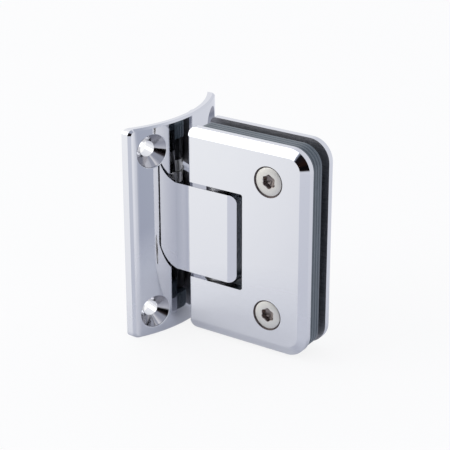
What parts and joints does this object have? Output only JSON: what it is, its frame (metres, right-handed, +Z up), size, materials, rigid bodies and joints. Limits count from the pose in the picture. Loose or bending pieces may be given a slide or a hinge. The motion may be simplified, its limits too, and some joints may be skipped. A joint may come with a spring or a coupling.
{
  "type": "glass door hinge",
  "caption": "Wall to glass door hinge with an arched wall plate, a centre block and two bevelled plates that clamp the glass and turn about an upright pin.",
  "frame": {"origin": "middle of the wall plate's mounting face, on the wall", "axes": "X from the wall towards the glass, Y through the glass from the screw side to the back, Z up along the pivot"},
  "size_m": [0.0726, 0.059, 0.09],
  "materials": {
    "plate_chrome": "polished chrome plate",
    "stainless_steel": "satin stainless steel",
    "hard_steel": "ground steel",
    "black_acetal": "moulded",
    "white_acetal": "moulded",
    "gasket": "clear grey soft sheet"
  },
  "bodies": {
    "wall_side": {"wall_plate": "plate_chrome", "centre_block": "plate_chrome", "upper_block_screw": "hard_steel", "lower_block_screw": "hard_steel", "upper_bearing_sleeve": "white_acetal", "lower_bearing_sleeve": "white_acetal", "upper_spring": "hard_steel", "lower_spring": "hard_steel"},
    "pressure_bar": {"pressure_bar": "hard_steel"},
    "glass_clamp": {"pivot_pin": "hard_steel", "front_clamp_plate": "plate_chrome", "back_clamp_plate": "plate_chrome", "glass_gasket_1": "gasket", "glass_gasket_2": "gasket", "glass_gasket_3": "gasket", "glass_gasket_4": "gasket", "upper_thrust_collar": "stainless_steel", "upper_pin_holder": "black_acetal", "upper_set_screw": "hard_steel", "upper_clamp_screw": "stainless_steel", "upper_screw_sleeve": "white_acetal", "lower_thrust_collar": "stainless_steel", "lower_pin_holder": "black_acetal", "lower_set_screw": "hard_steel", "lower_clamp_screw": "stainless_steel", "lower_screw_sleeve": "white_acetal"}
  },
  "joints": [
    {"name": "clamp_swing", "type": "hinge", "parent": "wall_side", "child": "glass_clamp", "pos_m": [0.0262, 0, 0], "axis": [0, 0, 1], "range_deg": [-90, 90]},
    {"name": "pressure_bar_slide", "type": "slide", "parent": "wall_side", "child": "pressure_bar", "axis": [1, 0, 0], "range_m": [0, 0.00105], "stiffness_N_per_m": 20000}
  ]
}
